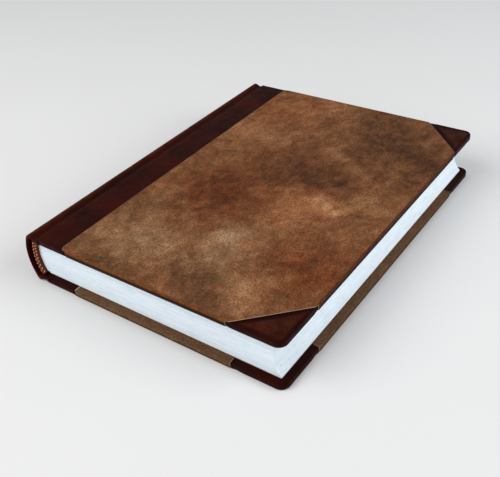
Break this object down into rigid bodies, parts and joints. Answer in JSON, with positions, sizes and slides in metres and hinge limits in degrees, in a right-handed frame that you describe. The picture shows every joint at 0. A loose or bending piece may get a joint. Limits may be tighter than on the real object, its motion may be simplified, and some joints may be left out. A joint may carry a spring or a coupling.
{
  "type": "leather-bound book",
  "caption": "Hardback book with a rounded dark leather spine, dark leather corners, mottled suede-like sides, blank pages and two covers that open on their joints.",
  "frame": {"origin": "middle of the underside, on the back cover's face", "axes": "+X from the spine to the fore-edge, +Y from the tail to the head, +Z from the back cover up to the front cover"},
  "size_m": [0.1686, 0.218, 0.0305],
  "materials": {
    "pages": "cut paper edges, cool white, fine lines",
    "endpaper": "smooth white endpaper",
    "dark_leather": "smooth dark red-brown leather, slight sheen",
    "side_leather": "suede-like mottled olive, tan and brown leather",
    "cover_board": "grey binder's board",
    "spine_card": "thin card",
    "mull": "open-weave lining cloth",
    "endband": "copper and cream thread"
  },
  "bodies": {
    "book_block": {"text_block": "pages", "front_flyleaf": "endpaper", "back_flyleaf": "endpaper", "spine_mull": "mull", "head_endband": "endband", "tail_endband": "endband", "spine_inlay": "spine_card", "spine_leather": "dark_leather"},
    "front_cover": {"front_board": "cover_board", "front_spine_flange": "dark_leather", "front_head_corner": "dark_leather", "front_tail_corner": "dark_leather", "front_side_leather": "side_leather", "front_pastedown": "endpaper", "front_mull_flap": "mull"},
    "back_cover": {"back_board": "cover_board", "back_spine_flange": "dark_leather", "back_head_corner": "dark_leather", "back_tail_corner": "dark_leather", "back_side_leather": "side_leather", "back_pastedown": "endpaper", "back_mull_flap": "mull"}
  },
  "joints": [
    {"name": "front_cover_hinge", "type": "hinge", "parent": "book_block", "child": "front_cover", "pos_m": [-0.0747, 0, 0.0306], "axis": [0, -1, 0], "range_deg": [0, 180]},
    {"name": "back_cover_hinge", "type": "hinge", "parent": "book_block", "child": "back_cover", "pos_m": [-0.0747, 0, -0.0001], "axis": [0, 1, 0], "range_deg": [0, 180]}
  ]
}
